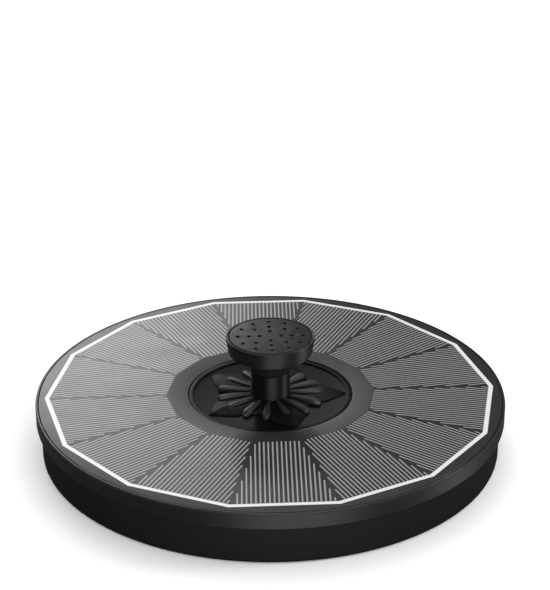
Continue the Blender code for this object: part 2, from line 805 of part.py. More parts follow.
FERRITE = make_material("ferrite", (0.12, 0.12, 0.12), 0.6)
IVORY = make_material("ivory", (0.8, 0.78, 0.7), 0.45)
BATTERY_BLUE = make_material("battery_blue", (0.1, 0.25, 0.55), 0.4)
BOARD_GREEN = make_material("board_green", (0.03, 0.22, 0.08), 0.45)
CHIP_BLACK = make_material("chip_black", (0.02, 0.02, 0.02), 0.5)
WIRE_BLACK = make_material("wire_black", (0.02, 0.02, 0.02), 0.5)
WIRE_RED = make_material("wire_red", (0.5, 0.03, 0.03), 0.5)

build_top_shell()
build_bottom_shell()
build_seal_ring()
build_panel()
build_flower_cover()
build_riser()
build_nozzle()
build_pump_housing()
build_motor()
build_rotor()
build_volute_cover()
build_filter_door()
build_power()
build_leads()
build_screws()
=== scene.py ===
"""Looks of the floating solar fountain pump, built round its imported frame.

Sizes are in millimetres in the part's own frame, with z = 0 at the flat underside, and the
helpers turn them into metres. The front is -Y.
"""

import json
import math

import bmesh
import bpy
from mathutils import Euler, Matrix, Vector


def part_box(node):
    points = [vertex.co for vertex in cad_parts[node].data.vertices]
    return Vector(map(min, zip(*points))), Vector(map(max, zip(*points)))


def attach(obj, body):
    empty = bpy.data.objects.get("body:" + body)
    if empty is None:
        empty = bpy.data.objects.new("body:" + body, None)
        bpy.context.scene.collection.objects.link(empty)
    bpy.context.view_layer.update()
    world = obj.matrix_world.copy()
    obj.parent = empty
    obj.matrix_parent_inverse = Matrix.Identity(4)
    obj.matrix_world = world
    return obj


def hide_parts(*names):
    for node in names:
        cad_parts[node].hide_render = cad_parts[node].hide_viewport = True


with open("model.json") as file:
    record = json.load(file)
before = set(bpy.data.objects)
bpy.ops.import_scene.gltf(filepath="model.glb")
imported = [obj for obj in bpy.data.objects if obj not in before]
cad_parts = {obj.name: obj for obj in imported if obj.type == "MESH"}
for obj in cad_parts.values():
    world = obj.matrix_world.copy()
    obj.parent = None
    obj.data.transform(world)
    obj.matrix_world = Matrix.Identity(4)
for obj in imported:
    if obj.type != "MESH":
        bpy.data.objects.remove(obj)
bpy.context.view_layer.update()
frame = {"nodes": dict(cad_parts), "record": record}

MM = 0.001
SHARP_ANGLE = 35

# Sizes read from the frame
DISC_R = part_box("top_shell")[1].x / MM
TOP_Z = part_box("panel_board")[1].z / MM
TUB_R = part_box("bottom_shell")[1].x / MM
PANEL_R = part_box("panel_board")[1].x / MM
PANEL_LOW_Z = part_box("panel_board")[0].z / MM
COVER_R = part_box("flower_cover")[1].x / MM
RISER_TOP_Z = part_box("riser_tube")[1].z / MM
PLUG_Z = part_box("nozzle_cup")[0].z / MM
CUP_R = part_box("nozzle_cup")[1].x / MM
PLATE_Z = [corner.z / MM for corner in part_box("spray_plate")]

# Shells
BAND_Z = 13.2
RIM_INNER_R = 79.3
RIM_LOW_Z = TOP_Z - 0.6
LID_SKIRT_R = TUB_R + 0.3
LID_PLATE_Z = (15.3, 17.2)
LID_HOLE_R = 26.0
TUB_WALL = 1.8
TUB_FLOOR = 2.0
TUB_TOP_Z = 13.9
WELL_R = 30.5
WELL_OUT_R = 32.8
WELL_ROOF_Z = (13.4, 15.0)
ROOF_HOLE_R = 8.4
BODY_SIDES = 224
CASE_SCREW_COUNT = 6
# (radius, height) outlines that are cut into the underside, down to below it
SCREW_POCKET = [(2.5, 2.7), (2.5, 0.25), (3.0, -0.2), (3.0, -1), (0, -1), (0, 2.7)]
BUTTON_HOLE = [(5.3, 3.0), (5.3, 0.4), (6.0, -0.3), (6.0, -1), (0, -1), (0, 3.0)]

# Panel
CELL_COUNT = 14
CELL_STEP = 360 / CELL_COUNT
FRONT = -90.0
BORDER_R = 76.2
BORDER_WIDTH = 1.55
PANEL_INNER_R = 28.15
CELL_INNER_APOTHEM = 34.9
CELL_PLATE_MARGIN = 0.3
CELL_PLATE_EDGE = 0.06
FINGER_PITCH = 1.435
FINGER_WIDTH = 0.5
FINGER_TILT = -2.4
FINGER_SIDE_GAP = {1: 0.2, -1: 0.85}
FINGER_SHORTEST = 1.5
FINGER_UNDER_BORDER = 0.1
PRINT_HEIGHT = 0.02

# Flower cover
RIM_R = 26.3
RIM_DROP = 0.32
FLOOR_Z = TOP_Z - 0.8
COVER_HOLE_R = 7.0
COVER_BOTTOM_Z = 16.4
COVER_LIP_Z = LID_PLATE_Z[1] + 0.3
COVER_SKIRT_R = LID_HOLE_R - 0.3
FOOT_Z = FLOOR_Z - 0.1
PETAL_COUNT = 5
PETAL_TIP_R = 25.7
PETAL_CREST_R = 20.0
PETAL_PHASE = -2.2
# distance out, half width
PETAL_STATIONS = (
    (11.0, 5.2),
    (15.0, 6.2),
    (17.5, 6.3),
    (19.2, 5.5),
    (21.0, 4.05),
    (23.0, 2.35),
    (24.6, 0.95),
    (PETAL_TIP_R, 0.12),
)
# distance out, height over the floor
HUB_PROFILE = ((6.9, 0.0), (6.9, 0.8), (11.0, 0.7), (14.6, 0.55), (15.3, 0.4), (15.5, -0.1))
HUB_STEPS = 180
HUB_WAVE = 0.9
HUB_WAVE_FROM_R = 12.0
RAY_COUNT = 15
# distance out, half width of the top, half width of the foot, height over the floor
RAY_STATIONS = (
    (7.0, 0.4, 0.55, 1.12),
    (8.4, 0.55, 0.7, 1.2),
    (10.0, 0.7, 0.87, 1.28),
    (13.0, 0.88, 1.08, 1.4),
    (15.2, 1.02, 1.24, 1.46),
    (16.6, 1.0, 1.22, 1.4),
    (17.5, 0.84, 1.06, 1.22),
    (18.1, 0.6, 0.82, 0.95),
    (18.5, 0.3, 0.52, 0.55),
)

# Nozzle
RISER_R = 6.65
RISER_BORE_R = 4.6
RISER_FLANGE_R = 8.0
RISER_FLANGE_THICK = 0.8
CUP_LOW_Z = 34.4
CUP_LOW_R = 14.2
NECK_R = 7.0
NECK_TAPER_Z = 32.0
NECK_TOP_Z = CUP_LOW_Z - 0.6
PLUG_R = 4.2
SEAL_GROOVE_R = 3.4
SEAL_GROOVE_Z = (PLUG_Z + 1.5, PLUG_Z + 2.5)
NOZZLE_BORE_R = 2.6
CHAMBER_R = CUP_R - 2.1
CHAMBER_FLOOR_Z = CUP_LOW_Z + 1.4
PLATE_R = 14.0
PLATE_SEAT_R = PLATE_R + 0.25
SPRAY_HOLE_R = 0.75
SPRAY_RINGS = ((3.6, 4), (7.2, 8), (11.0, 12))


# ---------------------------------------------------------------- shape helpers


def polar(radius, degrees):
    """The (x, y) point at a radius and an angle."""
    angle = math.radians(degrees)
    return radius * math.cos(angle), radius * math.sin(angle)


def piece(name, mesh, look, body, slot, *nodes):
    """A visible object that rides on a body and stands for the CAD nodes named."""
    obj = bpy.data.objects.new(name, mesh)
    bpy.context.scene.collection.objects.link(obj)
    mesh.materials.clear()
    mesh.materials.append(look)
    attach(obj, body)
    if nodes:
        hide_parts(*nodes)
    return obj


def finish_mesh(name, shape, sharp=SHARP_ANGLE):
    """Turns a bmesh in millimetres into a shaded mesh in metres."""
    bmesh.ops.recalc_face_normals(shape, faces=shape.faces)
    mesh = bpy.data.meshes.new(name)
    shape.to_mesh(mesh)
    shape.free()
    mesh.transform(Matrix.Scale(MM, 4))
    mesh.shade_smooth()
    mesh.set_sharp_from_angle(angle=math.radians(sharp))
    return mesh


def rounded(outline, radii, steps=4):
    """The closed outline with its corners turned into arcs. radii is one radius or one a corner."""
    if not isinstance(radii, (list, tuple)):
        radii = [radii] * len(outline)
    points = [Vector(p) for p in outline]
    result = []
    for i, (corner, radius) in enumerate(zip(points, radii)):
        before = points[i - 1] - corner
        after = points[(i + 1) % len(points)] - corner
        if radius <= 0:
            result.append(tuple(corner))
            continue
        half = before.angle(after) / 2
        reach = min(radius / math.tan(half), 0.48 * before.length, 0.48 * after.length)
        start = corner + before.normalized() * reach
        end = corner + after.normalized() * reach
        bisector = (before.normalized() + after.normalized()).normalized()
        centre = corner + bisector * (reach / math.cos(half))
        a, b = start - centre, end - centre
        for step in range(steps + 1):
            mix = a.lerp(b, step / steps)
            result.append(tuple(centre + mix.normalized() * a.length))
    return result


def turned(name, outline, sides, sharp=SHARP_ANGLE):
    """A closed (radius, height) outline turned about Z."""
    shape = bmesh.new()
    rings = []
    for radius, height in outline:
        if radius < 1e-6:
            rings.append([shape.verts.new((0, 0, height))] * sides)
            continue
        ring = [shape.verts.new((*polar(radius, 360 * i / sides), height)) for i in range(sides)]
        rings.append(ring)
    for upper, lower in zip(rings, rings[1:] + rings[:1]):
        if upper[0] is upper[1] and lower[0] is lower[1]:
            continue
        for i in range(sides):
            j = (i + 1) % sides
            corners = [upper[i], upper[j], lower[j], lower[i]]
            shape.faces.new(list(dict.fromkeys(corners)))
    return finish_mesh(name, shape, sharp)


def loft(shape, sections):
    """Joins rows of points, each a closed ring, and closes both ends."""
    rows = [[shape.verts.new(p) for p in section] for section in sections]
    for row, other in zip(rows, rows[1:]):
        for i in range(len(row)):
            j = (i + 1) % len(row)
            shape.faces.new((row[i], row[j], other[j], other[i]))
    shape.faces.new(rows[0])
    shape.faces.new(rows[-1])


def slab(shape, outline, low, high):
    """A flat plate with the (x, y) outline."""
    loft(shape, [[(x, y, z) for x, y in outline] for z in (low, high)])


def cutter(name, mesh, place=(0, 0, 0)):
    obj = bpy.data.objects.new(name, mesh)
    bpy.context.scene.collection.objects.link(obj)
    obj.location = place
    return obj


def cut(obj, *tools):
    """Cuts the tools out of the piece's mesh and removes them."""
    for tool in tools:
        modifier = obj.modifiers.new(tool.name, "BOOLEAN")
        modifier.operation = "DIFFERENCE"
        modifier.object = tool
    bpy.context.view_layer.update()
    graph = bpy.context.evaluated_depsgraph_get()
    mesh = bpy.data.meshes.new_from_object(obj.evaluated_get(graph))
    obj.modifiers.clear()
    obj.data = mesh
    for tool in tools:
        bpy.data.objects.remove(tool)
    mesh.shade_smooth()
    mesh.set_sharp_from_angle(angle=math.radians(SHARP_ANGLE))


# ---------------------------------------------------------------- materials


def new_material(name):
    material = bpy.data.materials.new(name)
    material.use_nodes = True
    nodes = material.node_tree.nodes
    return material, nodes, material.node_tree.links, nodes["Principled BSDF"]


def noise(nodes, links, coords, scale, detail=3.0, roughness=0.5):
    texture = nodes.new("ShaderNodeTexNoise")
    texture.inputs["Scale"].default_value = scale
    texture.inputs["Detail"].default_value = detail
    texture.inputs["Roughness"].default_value = roughness
    links.new(coords, texture.inputs["Vector"])
    return texture.outputs["Fac"]


def ramp(nodes, links, value, low, high):
    """Maps a texture's middle range to low..high."""
    node = nodes.new("ShaderNodeMapRange")
    node.inputs["From Min"].default_value = 0.3
    node.inputs["From Max"].default_value = 0.7
    node.inputs["To Min"].default_value = low
    node.inputs["To Max"].default_value = high
    links.new(value, node.inputs["Value"])
    return node.outputs["Result"]


def moulded(
    name,
    colour,
    roughness,
    spread=0.05,
    grain=0.02,
    grain_scale=2600,
    shade=0.12,
    metallic=0.0,
    specular=0.5,
):
    """Moulded or coated surface: cloudy tone, uneven gloss and a fine grain."""
    material, nodes, links, shader = new_material(name)
    coords = nodes.new("ShaderNodeTexCoord").outputs["Object"]
    cloud = noise(nodes, links, coords, 60, 4)
    mix = nodes.new("ShaderNodeMix")
    mix.data_type = "RGBA"
    mix.inputs["A"].default_value = (*[c * (1 - shade) for c in colour], 1)
    mix.inputs["B"].default_value = (*[c * (1 + shade) for c in colour], 1)
    links.new(cloud, mix.inputs["Factor"])
    links.new(mix.outputs["Result"], shader.inputs["Base Color"])
    smear = noise(nodes, links, coords, 110, 5, 0.6)
    gloss = ramp(nodes, links, smear, roughness - spread, roughness + spread)
    links.new(gloss, shader.inputs["Roughness"])
    shader.inputs["Metallic"].default_value = metallic
    shader.inputs["Specular IOR Level"].default_value = specular
    fine = noise(nodes, links, coords, grain_scale, 2)
    bump = nodes.new("ShaderNodeBump")
    bump.inputs["Strength"].default_value = grain
    bump.inputs["Distance"].default_value = 0.0002
    links.new(fine, bump.inputs["Height"])
    links.new(bump.outputs["Normal"], shader.inputs["Normal"])
    return material


def satin(name, colour, specular, roughness=0.55, anisotropy=0.85):
    """Turned satin plastic, whose highlights stretch along the axis."""
    material = moulded(name, colour, roughness, 0.04, 0.03, 2200, specular=specular)
    nodes = material.node_tree.nodes
    shader = nodes["Principled BSDF"]
    tangent = nodes.new("ShaderNodeTangent")
    tangent.direction_type = "RADIAL"
    tangent.axis = "Z"
    material.node_tree.links.new(tangent.outputs["Tangent"], shader.inputs["Tangent"])
    shader.inputs["Anisotropic"].default_value = anisotropy
    shader.inputs["Anisotropic Rotation"].default_value = 0.25
    return material


LID_BLACK = satin("lid_black", (0.003, 0.003, 0.0032), 0.75)
RIM_BLACK = moulded("rim_black", (0.012, 0.012, 0.0125), 0.32, 0.03, 0.02, 3200)
TUB_BLACK = moulded("tub_black", (0.004, 0.004, 0.0042), 0.62, 0.05, 0.25, 1500, specular=0.2)
PANEL_FACE = moulded("panel_face", (0.018, 0.018, 0.019), 0.3, 0.03, 0.02, 3200)
CELL_FACE = moulded("cell_face", (0.016, 0.016, 0.018), 0.3, 0.03, 0.02, 3200)
FINGER_PRINT = moulded("finger_print", (0.25, 0.25, 0.25), 0.3, 0.03, 0.02, 3200)
BORDER_PRINT = moulded("border_print", (0.62, 0.62, 0.63), 0.3, 0.03, 0.02, 3200, 0.04)
# Painted light on the flower cover, which is one moulded black part: the dish, the petals and the
# hub get darker copies of its black as painted shade, and the rays a lighter copy as painted lit
# tops.
COVER_BLACK_PAINTED_SHADE = moulded("cover_black_painted_shade", (0.0025, 0.0025, 0.0027), 0.3, 0.02, 0.0, 2200, specular=0.08)
PETAL_BLACK_PAINTED_SHADE = moulded("petal_black_painted_shade", (0.0045, 0.0045, 0.0047), 0.42, 0.04, 0.01, 2200, specular=0.12)
RAY_BLACK_PAINTED_LIGHT = moulded("ray_black_painted_light", (0.018, 0.018, 0.0185), 0.42, 0.04, 0.01, 2200, specular=0.5)
TUBE_BLACK = satin("tube_black", (0.002, 0.002, 0.0022), 0.38)
CUP_BLACK = satin("cup_black", (0.003, 0.003, 0.0032), 0.7)
# Painted shade: the neck gets a duller, less shiny copy of the cup's black, which stands in for the
# shade under the cup.
NECK_BLACK_PAINTED_SHADE = moulded("neck_black_painted_shade", (0.006, 0.006, 0.0063), 0.55, 0.04, 0.1, 2200, specular=0.15)
PLATE_GREY = moulded("plate_grey", (0.012, 0.012, 0.012), 0.36, 0.05, 0.03, 1800, specular=0.2)
RUBBER_BLACK = moulded("rubber_black", (0.022, 0.022, 0.022), 0.7, 0.06, 0.2, 1800)
FOAM_GREY = moulded("foam_grey", (0.06, 0.06, 0.065), 0.95, 0.03, 1.0, 900, 0.5)
PUMP_GREY = moulded("pump_grey", (0.03, 0.03, 0.032), 0.5, 0.05, 0.15, 1500)
STEEL = moulded("steel", (0.55, 0.55, 0.56), 0.32, 0.08, 0.05, 1500, 0.1, 1.0)
COPPER = moulded("copper", (0.6, 0.26, 0.12), 0.38, 0.06, 0.2, 1200, 0.2, 1.0)
CERAMIC = moulded("ceramic", (0.8, 0.79, 0.74), 0.2, 0.04, 0.02)
FERRITE = moulded("ferrite", (0.08, 0.08, 0.085), 0.55, 0.06, 0.2, 1500)
IVORY = moulded("ivory", (0.72, 0.69, 0.6), 0.42, 0.05, 0.05)
BATTERY_BLUE = moulded("battery_blue", (0.06, 0.16, 0.4), 0.32, 0.05, 0.04)
BOARD_GREEN = moulded("board_green", (0.02, 0.16, 0.06), 0.4, 0.06, 0.1, 1500)
CHIP_BLACK = moulded("chip_black", (0.02, 0.02, 0.02), 0.48, 0.05, 0.2, 2000)
WIRE_BLACK = moulded("wire_black", (0.02, 0.02, 0.02), 0.42, 0.05, 0.05)
WIRE_RED = moulded("wire_red", (0.4, 0.02, 0.02), 0.42, 0.05, 0.05)

NODE_LOOKS = {
    "pump_black": PUMP_GREY,
    "rubber": RUBBER_BLACK,
    "foam": FOAM_GREY,
    "steel": STEEL,
    "copper": COPPER,
    "ceramic": CERAMIC,
    "ferrite": FERRITE,
    "ivory": IVORY,
    "battery_blue": BATTERY_BLUE,
    "board_green": BOARD_GREEN,
    "chip_black": CHIP_BLACK,
    "wire_black": WIRE_BLACK,
    "wire_red": WIRE_RED,
    "black_satin": LID_BLACK,
    "black_matt": TUB_BLACK,
    "panel_black": PANEL_FACE,
    "cell_grey": CELL_FACE,
    "border_white": BORDER_PRINT,
    "grey_satin": PLATE_GREY,
}


def dress_cad_nodes():
    """Gives each node of the frame the material of its slot."""
    for row in frame["record"]["subparts"]:
        node = frame["nodes"][row["node"]]
        node.data.materials.clear()
        node.data.materials.append(NODE_LOOKS[row["material_slot"]])
        for face in node.data.polygons:
            face.material_index = 0


# ---------------------------------------------------------------- shells


def build_lid():
    plate_low, plate_high = LID_PLATE_Z
    outline = [
        (DISC_R, RIM_LOW_Z),
        (DISC_R, BAND_Z),
        (LID_SKIRT_R, BAND_Z),
        (LID_SKIRT_R, plate_low),
        (LID_HOLE_R, plate_low),
        (LID_HOLE_R, plate_high),
        (RIM_INNER_R, plate_high),
        (RIM_INNER_R, RIM_LOW_Z),
    ]
    radii = [0, 0.35, 0.15, 0, 0.1, 0.1, 0, 0]
    mesh = turned("lid", rounded(outline, radii), BODY_SIDES)
    piece("lid", mesh, LID_BLACK, "hull", "black_satin", "top_shell")
    outline = [
        (RIM_INNER_R, TOP_Z),
        (DISC_R, TOP_Z),
        (DISC_R, RIM_LOW_Z),
        (RIM_INNER_R, RIM_LOW_Z),
    ]
    mesh = turned("lid_rim", rounded(outline, [0.05, 0.4, 0, 0]), BODY_SIDES, 60)
    piece("lid_rim", mesh, RIM_BLACK, "hull", "black_satin")


def build_tub():
    inner_r = TUB_R - TUB_WALL
    roof_low, roof_high = WELL_ROOF_Z
    outline = [
        (TUB_R, TUB_TOP_Z),
        (TUB_R, 0.0),
        (WELL_R, 0.0),
        (WELL_R, roof_low),
        (ROOF_HOLE_R, roof_low),
        (ROOF_HOLE_R, roof_high),
        (WELL_OUT_R, roof_high),
        (WELL_OUT_R, TUB_FLOOR),
        (inner_r, TUB_FLOOR),
        (inner_r, TUB_TOP_Z),
    ]
    radii = [0.2, 1.3, 0.35, 0, 0, 0, 0.3, 0, 0, 0.2]
    mesh = turned("tub", rounded(outline, radii, 5), BODY_SIDES)
    tub = piece("tub", mesh, TUB_BLACK, "hull", "black_matt", "bottom_shell")
    tools = []
    for i in range(CASE_SCREW_COUNT):
        pocket = turned(f"pocket_{i}", SCREW_POCKET, 32)
        tools.append(cutter(f"pocket_{i}", pocket, under(f"case_screw_{i + 1}")))
    hole = turned("button_hole", BUTTON_HOLE, 48)
    tools.append(cutter("button_hole", hole, under("power_button")))
    cut(tub, *tools)


def under(node):
    """The point of the underside's plane at a node's middle."""
    low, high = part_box(node)
    return ((low.x + high.x) / 2, (low.y + high.y) / 2, 0)


# ---------------------------------------------------------------- solar panel


def polygon(circumradius, height):
    return [(*polar(circumradius, FRONT + CELL_STEP * (i + 0.5)), height) for i in range(CELL_COUNT)]


def build_panel():
    outline = [
        (PANEL_INNER_R, TOP_Z - PRINT_HEIGHT),
        (PANEL_R, TOP_Z - PRINT_HEIGHT),
        (PANEL_R, PANEL_LOW_Z),
        (PANEL_INNER_R, PANEL_LOW_Z),
    ]
    mesh = turned("laminate", rounded(outline, [0.12, 0.15, 0, 0]), BODY_SIDES)
    piece("laminate", mesh, PANEL_FACE, "hull", "panel_black", "panel_board")
    half = BORDER_WIDTH / 2 / math.cos(math.radians(CELL_STEP / 2))
    low, high = TOP_Z - 2 * PRINT_HEIGHT, TOP_Z
    shape = bmesh.new()
    rings = [
        [shape.verts.new(p) for p in polygon(BORDER_R + side * half, z)]
        for side, z in ((1, low), (1, high), (-1, high), (-1, low))
    ]
    for ring, other in zip(rings, rings[1:] + rings[:1]):
        for i in range(CELL_COUNT):
            j = (i + 1) % CELL_COUNT
            shape.faces.new((ring[i], ring[j], other[j], other[i]))
    mesh = finish_mesh("border_line", shape)
    piece("border_line", mesh, BORDER_PRINT, "hull", "border_white", "panel_border")
    for i in range(CELL_COUNT):
        build_cell(i)


def build_cell(index):
    """One cell: a thin plate and its printed fingers, which end in steps along the cell's sides."""
    name = f"solar_cell_{index + 1:02d}"
    turn = Matrix.Rotation(math.radians(FRONT + CELL_STEP * index), 4, "Z")
    slope = math.tan(math.radians(CELL_STEP / 2))
    border_in = BORDER_R * math.cos(math.radians(CELL_STEP / 2)) - BORDER_WIDTH / 2
    inner, outer = CELL_INNER_APOTHEM - CELL_PLATE_MARGIN, border_in
    outline = [
        (inner, -inner * slope + CELL_PLATE_EDGE),
        (outer, -outer * slope + CELL_PLATE_EDGE),
        (outer, outer * slope - CELL_PLATE_EDGE),
        (inner, inner * slope - CELL_PLATE_EDGE),
    ]
    shape = bmesh.new()
    slab(shape, outline, TOP_Z - 3 * PRINT_HEIGHT, TOP_Z - PRINT_HEIGHT / 2)
    mesh = finish_mesh(name + "_plate", shape)
    mesh.transform(turn)
    piece(name + "_plate", mesh, CELL_FACE, "hull", "cell_grey", name)
    shape = bmesh.new()
    lines = int(2 * outer * slope / FINGER_PITCH)
    for k in range(-lines, lines + 1):
        add_finger(shape, (k + 0.5) * FINGER_PITCH, slope, border_in)
    mesh = finish_mesh(name + "_fingers", shape)
    mesh.transform(turn)
    piece(name + "_fingers", mesh, FINGER_PRINT, "hull", "cell_grey")


def add_finger(shape, offset, slope, border_in):
    """A finger at a sideways offset, as far as it stays inside the cell's outline."""
    middle = (CELL_INNER_APOTHEM + border_in) / 2
    lean = math.tan(math.radians(FINGER_TILT))
    start, end = CELL_INNER_APOTHEM, border_in + FINGER_UNDER_BORDER
    # At a distance u from the centre the finger is offset + lean * (u - middle) to the side,
    # and it stays limit away from the cell's edge at slope * u.
    for side in (1, -1):
        limit = FINGER_SIDE_GAP[side] / math.cos(math.atan(slope)) + FINGER_WIDTH / 2
        reach = (side * (offset - lean * middle) + limit) / (slope - side * lean)
        start = max(start, reach)
    if end - start < FINGER_SHORTEST:
        return
    corners = []
    for u, side in ((start, -1), (end, -1), (end, 1), (start, 1)):
        w = offset + lean * (u - middle) + side * FINGER_WIDTH / 2
        corners.append((u, w))
    slab(shape, corners, TOP_Z - PRINT_HEIGHT, TOP_Z)


# ---------------------------------------------------------------- flower cover


def build_cover():
    outline = [
        (RIM_R, TOP_Z - RIM_DROP),
        (COVER_R, TOP_Z - RIM_DROP + 0.05),
        (COVER_R, COVER_LIP_Z),
        (COVER_SKIRT_R, COVER_LIP_Z),
        (COVER_SKIRT_R, COVER_BOTTOM_Z),
        (COVER_HOLE_R, COVER_BOTTOM_Z),
        (COVER_HOLE_R, FLOOR_Z),
        (RIM_R - 0.1, FLOOR_Z),
    ]
    radii = [0.08, 0.06, 0, 0, 0, 0, 0, 0.05]
    mesh = turned("cover_dish", rounded(outline, radii), 160)
    piece("cover_dish", mesh, COVER_BLACK_PAINTED_SHADE, "hull", "black_satin", "flower_cover")
    shape = bmesh.new()
    for i in range(PETAL_COUNT):
        add_petal(shape, PETAL_PHASE + 360 / PETAL_COUNT * i)
    mesh = finish_mesh("cover_petals", shape, 20)
    piece("cover_petals", mesh, PETAL_BLACK_PAINTED_SHADE, "hull", "black_satin")
    shape = bmesh.new()
    add_hub(shape)
    piece("cover_hub", finish_mesh("cover_hub", shape, 30), PETAL_BLACK_PAINTED_SHADE, "hull", "black_satin")
    shape = bmesh.new()
    for i in range(RAY_COUNT):
        add_ray(shape, PETAL_PHASE + 360 / RAY_COUNT * i)
    mesh = finish_mesh("cover_rays", shape, 30)
    piece("cover_rays", mesh, RAY_BLACK_PAINTED_LIGHT, "hull", "black_satin")


def placed(points, angle):
    """The points turned about Z."""
    turn = Matrix.Rotation(math.radians(angle), 3, "Z")
    return [tuple(turn @ Vector(p)) for p in points]


def add_petal(shape, angle):
    """A broad pointed petal: two facets that meet in a crease, with a low wall round its edge."""
    sections = []
    for along, half in PETAL_STATIONS:
        rise = min((PETAL_TIP_R - along) / (PETAL_TIP_R - PETAL_CREST_R), 1.0)
        fall = max((PETAL_CREST_R - along) / (PETAL_CREST_R - PETAL_STATIONS[0][0]), 0.0)
        crease = FLOOR_Z + 0.5 + 1.05 * rise - 0.55 * fall
        edge = FLOOR_Z + 0.3 + 0.1 * rise
        sections.append(
            [
                (along, -half, FOOT_Z),
                (along, -half, edge - 0.05),
                (along, -half + 0.05, edge),
                (along, 0, crease),
                (along, half - 0.05, edge),
                (along, half, edge - 0.05),
                (along, half, FOOT_Z),
            ]
        )
    loft(shape, [placed(section, angle) for section in sections])


def add_hub(shape):
    """The low fluted disc that the rays stand on, cut back between the rays."""
    rows = []
    for radius, height in HUB_PROFILE:
        row = []
        for i in range(HUB_STEPS):
            angle = 360 * i / HUB_STEPS
            wave = math.cos(math.radians((angle - PETAL_PHASE) * RAY_COUNT))
            reach = radius + (HUB_WAVE * wave if radius > HUB_WAVE_FROM_R else 0)
            row.append(shape.verts.new((*polar(reach, angle), FLOOR_Z + height)))
        rows.append(row)
    for row, other in zip(rows, rows[1:] + rows[:1]):
        for i in range(HUB_STEPS):
            j = (i + 1) % HUB_STEPS
            shape.faces.new((row[i], row[j], other[j], other[i]))


def add_ray(shape, angle):
    """A long narrow ray: a nearly flat top, steep sides and a rounded nose that slopes down."""
    sections = []
    for along, top, base, height in RAY_STATIONS:
        crown = FLOOR_Z + 0.2 + height
        sections.append(
            [
                (along, -base, FOOT_Z),
                (along, -top - 0.08, crown - 0.32),
                (along, -top, crown - 0.18),
                (along, -0.5 * top, crown - 0.05),
                (along, 0, crown),
                (along, 0.5 * top, crown - 0.05),
                (along, top, crown - 0.18),
                (along, top + 0.08, crown - 0.32),
                (along, base, FOOT_Z),
            ]
        )
    loft(shape, [placed(section, angle) for section in sections])


# ---------------------------------------------------------------- riser and nozzle


def build_riser():
    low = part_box("riser_tube")[0].z / MM
    outline = [
        (RISER_BORE_R, RISER_TOP_Z),
        (RISER_R, RISER_TOP_Z),
        (RISER_R, low + RISER_FLANGE_THICK),
        (RISER_FLANGE_R, low + RISER_FLANGE_THICK),
        (RISER_FLANGE_R, low),
        (RISER_BORE_R, low),
    ]
    radii = [0.25, 0.3, 0.2, 0.1, 0.1, 0.1]
    mesh = turned("riser", rounded(outline, radii), 96)
    piece("riser", mesh, TUBE_BLACK, "hull", "black_satin", "riser_tube")


def build_nozzle():
    groove_low, groove_high = SEAL_GROOVE_Z
    plate_low, plate_high = PLATE_Z
    rim_z = plate_high - 0.1
    seat_z = plate_low - 0.3
    # radius, height, corner radius: the beaded cup, its plug with the seal's groove, the inside
    corners = [
        (PLATE_SEAT_R, rim_z, 0.1),
        (CUP_R, rim_z, 0.3),
        (CUP_R, plate_high - 0.65, 0.15),
        (CUP_R - 0.35, plate_high - 0.7, 0.05),
        (CUP_R - 0.35, plate_high - 1.2, 0.05),
        (CUP_R - 0.05, plate_high - 1.3, 0.15),
        (CUP_LOW_R, CUP_LOW_Z, 0.45),
        (NECK_R, CUP_LOW_Z, 0.5),
        (NECK_R, NECK_TOP_Z, 0),
        (PLUG_R, NECK_TOP_Z, 0),
        (PLUG_R, groove_high, 0.05),
        (SEAL_GROOVE_R, groove_high, 0.05),
        (SEAL_GROOVE_R, groove_low, 0.05),
        (PLUG_R, groove_low, 0.05),
        (PLUG_R, PLUG_Z, 0.3),
        (NOZZLE_BORE_R, PLUG_Z, 0.2),
        (NOZZLE_BORE_R, CHAMBER_FLOOR_Z, 0.3),
        (CHAMBER_R, CHAMBER_FLOOR_Z, 0.5),
        (CHAMBER_R, seat_z, 0.1),
        (PLATE_SEAT_R, seat_z, 0.1),
    ]
    outline = [(radius, height) for radius, height, _ in corners]
    radii = [corner for _, _, corner in corners]
    mesh = turned("nozzle", rounded(outline, radii, 6), 128)
    piece("nozzle", mesh, CUP_BLACK, "nozzle", "black_satin", "nozzle_cup")
    neck_foot_z = RISER_TOP_Z + 0.3
    outline = [
        (NECK_R, NECK_TOP_Z),
        (NECK_R, NECK_TAPER_Z),
        (RISER_R + 0.1, neck_foot_z),
        (PLUG_R, neck_foot_z),
        (PLUG_R, NECK_TOP_Z),
    ]
    mesh = turned("neck", rounded(outline, [0, 2.0, 0.15, 0, 0]), 96)
    piece("neck", mesh, NECK_BLACK_PAINTED_SHADE, "nozzle", "black_satin")
    build_spray_face()


def build_spray_face():
    low, high = PLATE_Z
    outline = [(PLATE_R, high), (PLATE_R, low), (0, low), (0, high)]
    mesh = turned("spray_face", rounded(outline, [0.3, 0.1, 0, 0]), 128)
    plate = piece("spray_face", mesh, PLATE_GREY, "nozzle", "grey_satin", "spray_plate")
    shape = bmesh.new()
    for ring_r, count in SPRAY_RINGS:
        for i in range(count):
            bmesh.ops.create_cone(
                shape,
                cap_ends=True,
                segments=20,
                radius1=SPRAY_HOLE_R,
                radius2=SPRAY_HOLE_R,
                depth=3,
                matrix=Matrix.Translation((*polar(ring_r, 360 / count * i), (low + high) / 2)),
            )
    cut(plate, cutter("spray_holes", finish_mesh("spray_holes", shape)))


# ---------------------------------------------------------------- camera, lights and floor

# metres, degrees and millimetres of lens
CAMERA_DISTANCE = 0.6253
CAMERA_ELEVATION = 27.47
CAMERA_AZIMUTH = -3.3
CAMERA_LENS = 111.15
CLIP_START = 0.01
AIM_PITCH = 3.05
AIM_YAW = -0.163
SENSOR_WIDTH = 36
FLOOR_SIZE = 4000
FLOOR_TONES = (0.95, 0.97)
FLOOR_DROP = 0.0001
WORLD_FILL = 1.05
WORLD_GLOSS = 0.1
FLOOR_GLOSS = 0.12
